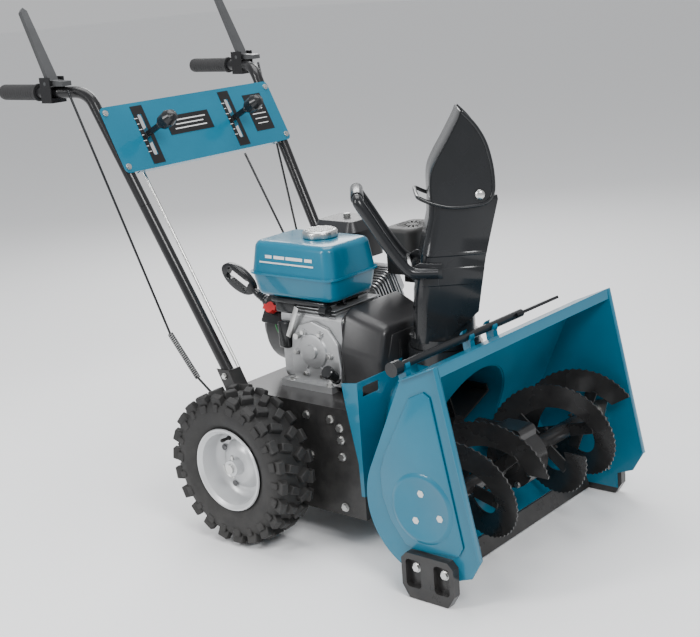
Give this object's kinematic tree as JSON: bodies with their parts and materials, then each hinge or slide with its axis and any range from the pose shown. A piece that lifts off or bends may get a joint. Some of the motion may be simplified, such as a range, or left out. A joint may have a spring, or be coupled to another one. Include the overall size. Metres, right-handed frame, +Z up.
{
  "type": "two-stage snowblower",
  "caption": "Walk-behind two-stage snowblower with a wide auger housing, turning discharge chute with tilting deflector, engine, lugged tyres and handlebar controls",
  "frame": {"origin": "On the ground, under the middle of the whole machine's bounding box", "axes": "+Z up; the auger end faces -Y and the operator stands at +Y; the operator's right hand is at -X, so the axle and the auger shaft lie along X"},
  "size_m": [0.664, 1.238, 1.1064],
  "materials": {
    "petrol_blue_paint": "glossy",
    "black_paint": "satin",
    "black_plastic": "satin",
    "zinc_steel": "zinc plated",
    "cast_aluminium": "as cast",
    "cast_iron": "machined",
    "tyre_rubber": "matte",
    "silver_rim_paint": "silver",
    "belt_rubber": "matte",
    "red_plastic": "glossy",
    "exhaust_black": "matte",
    "bush_bronze": "sintered",
    "cable_sheath": "satin"
  },
  "bodies": {
    "machine": {"chassis_frame": "black_paint", "shaft_bushings": "bush_bronze", "frame_bolts": "zinc_steel", "handle_tubes": "black_paint", "grips": "black_plastic", "control_panel": "petrol_blue_paint", "control_cables": "cable_sheath", "crankcase": "cast_aluminium", "cylinder": "cast_aluminium", "cylinder_head": "cast_aluminium", "fan_housing": "black_paint", "recoil_cover": "black_plastic", "switch_plate": "black_plastic", "fuel_tank": "petrol_blue_paint", "air_cleaner": "black_plastic", "muffler": "exhaust_black", "belt_cover": "black_paint", "belts": "belt_rubber", "engine_bolts": "zinc_steel", "housing_shell": "petrol_blue_paint", "side_plates": "petrol_blue_paint", "impeller_drum": "petrol_blue_paint", "mounting_frame": "petrol_blue_paint", "scraper_bar": "black_paint", "skid_shoes": "black_plastic", "bearings": "zinc_steel", "housing_bolts": "zinc_steel", "gearbox": "black_paint", "chute_ring": "black_plastic"},
    "wheels": {"tyre_right": "tyre_rubber", "tyre_left": "tyre_rubber", "wheel_rim_right": "silver_rim_paint", "wheel_rim_left": "silver_rim_paint", "drive_axle": "zinc_steel", "klik_pins": "zinc_steel", "axle_gear": "black_paint"},
    "hex": {"hex_shaft": "black_paint"},
    "friction_wheel": {"friction_wheel": "belt_rubber"},
    "crank": {"crankshaft": "zinc_steel", "engine_pulley": "cast_iron", "flywheel": "cast_aluminium"},
    "disc": {"friction_plate": "black_paint"},
    "augers": {"auger_shaft": "black_paint", "auger_right": "black_paint", "auger_left": "black_paint"},
    "impeller": {"impeller": "black_paint", "auger_pulley": "cast_iron"},
    "chute": {"chute": "black_plastic", "chute_handle": "black_plastic"},
    "deflector": {"deflector": "black_plastic"},
    "clutch_lever_right": {"clutch_lever_right": "black_paint"},
    "clutch_lever_left": {"clutch_lever_left": "black_paint"},
    "speed_lever": {"speed_lever": "black_plastic"},
    "throttle_lever": {"throttle_lever": "black_plastic"},
    "speed_rod": {"speed_rod": "zinc_steel"},
    "starter": {"starter_grip": "black_plastic", "starter_rope": "cable_sheath"},
    "fuel_cap": {"fuel_cap": "zinc_steel"},
    "stop_switch": {"stop_switch": "red_plastic"},
    "cleanout_tool": {"cleanout_tool": "black_plastic"}
  },
  "joints": [
    {"name": "axle_spin", "type": "hinge", "parent": "machine", "child": "wheels", "pos_m": [0, -0.01, 0.165], "axis": [1, 0, 0], "continuous": true},
    {"name": "hex_spin", "type": "hinge", "parent": "machine", "child": "hex", "pos_m": [0, -0.06975, 0.21514], "axis": [1, 0, 0], "continuous": true},
    {"name": "friction_shift", "type": "slide", "parent": "hex", "child": "friction_wheel", "axis": [1, 0, 0], "range_m": [-0.04, 0.04]},
    {"name": "crank_spin", "type": "hinge", "parent": "machine", "child": "crank", "pos_m": [0, -0.01, 0.392], "axis": [0, 1, 0], "continuous": true},
    {"name": "disc_spin", "type": "hinge", "parent": "machine", "child": "disc", "pos_m": [0, -0.01, 0.21514], "axis": [0, 1, 0], "continuous": true},
    {"name": "auger_spin", "type": "hinge", "parent": "machine", "child": "augers", "pos_m": [0, -0.502, 0.176], "axis": [1, 0, 0], "continuous": true},
    {"name": "impeller_spin", "type": "hinge", "parent": "machine", "child": "impeller", "pos_m": [0, -0.01, 0.22], "axis": [0, 1, 0], "continuous": true},
    {"name": "chute_turn", "type": "hinge", "parent": "machine", "child": "chute", "pos_m": [0, -0.341, 0.387], "axis": [0, 0, 1], "range_deg": [-130, 50]},
    {"name": "deflector_tilt", "type": "hinge", "parent": "chute", "child": "deflector", "pos_m": [0.04949, -0.39998, 0.703], "axis": [0.766, 0.6428, 0], "range_deg": [0, 50]},
    {"name": "clutch_lever_right_squeeze", "type": "hinge", "parent": "machine", "child": "clutch_lever_right", "pos_m": [-0.29, 0.446, 0.947], "axis": [1, 0, 0], "range_deg": [-52, 0], "stiffness_Nm_per_rad": 0.8, "springref_deg": 22.92},
    {"name": "clutch_lever_left_squeeze", "type": "hinge", "parent": "machine", "child": "clutch_lever_left", "pos_m": [0.29, 0.446, 0.947], "axis": [1, 0, 0], "range_deg": [-52, 0], "stiffness_Nm_per_rad": 0.8, "springref_deg": 22.92},
    {"name": "speed_lever_shift", "type": "hinge", "parent": "machine", "child": "speed_lever", "pos_m": [-0.16, 0.35614, 0.79829], "axis": [1, 0, 0], "range_deg": [-17, 17]},
    {"name": "throttle_lever_shift", "type": "hinge", "parent": "machine", "child": "throttle_lever", "pos_m": [0.105, 0.35614, 0.79829], "axis": [1, 0, 0], "range_deg": [-17, 17]},
    {"name": "speed_rod_travel", "type": "slide", "parent": "machine", "child": "speed_rod", "axis": [-0.0035, 0.4925, 0.8703], "range_m": [-0.012, 0.012]},
    {"name": "starter_pull", "type": "slide", "parent": "machine", "child": "starter", "axis": [-0.0502, 0.8634, 0.502], "range_m": [0, 0.6], "stiffness_N_per_m": 12, "springref_m": -0.15},
    {"name": "fuel_cap_turn", "type": "hinge", "parent": "machine", "child": "fuel_cap", "pos_m": [-0.034, -0.0555, 0.6], "axis": [0, 0, 1], "range_deg": [0, 90]},
    {"name": "stop_switch_turn", "type": "hinge", "parent": "machine", "child": "stop_switch", "pos_m": [-0.084, 0.046, 0.44], "axis": [-0.8645, 0, 0.5026], "range_deg": [0, 90]},
    {"name": "tool_lift", "type": "slide", "parent": "machine", "child": "cleanout_tool", "axis": [0, -0.342, 0.9397], "range_m": [0, 0.1]}
  ],
  "couplings": [
    {"joint": "hex_spin", "follows": "axle_spin", "ratio": -2.7143},
    {"joint": "disc_spin", "follows": "crank_spin", "ratio": 0.54546},
    {"joint": "impeller_spin", "follows": "auger_spin", "ratio": 10},
    {"joint": "friction_shift", "follows": "speed_lever_shift", "m_per_rad": 0.12},
    {"joint": "speed_rod_travel", "follows": "speed_lever_shift", "m_per_rad": 0.038}
  ]
}
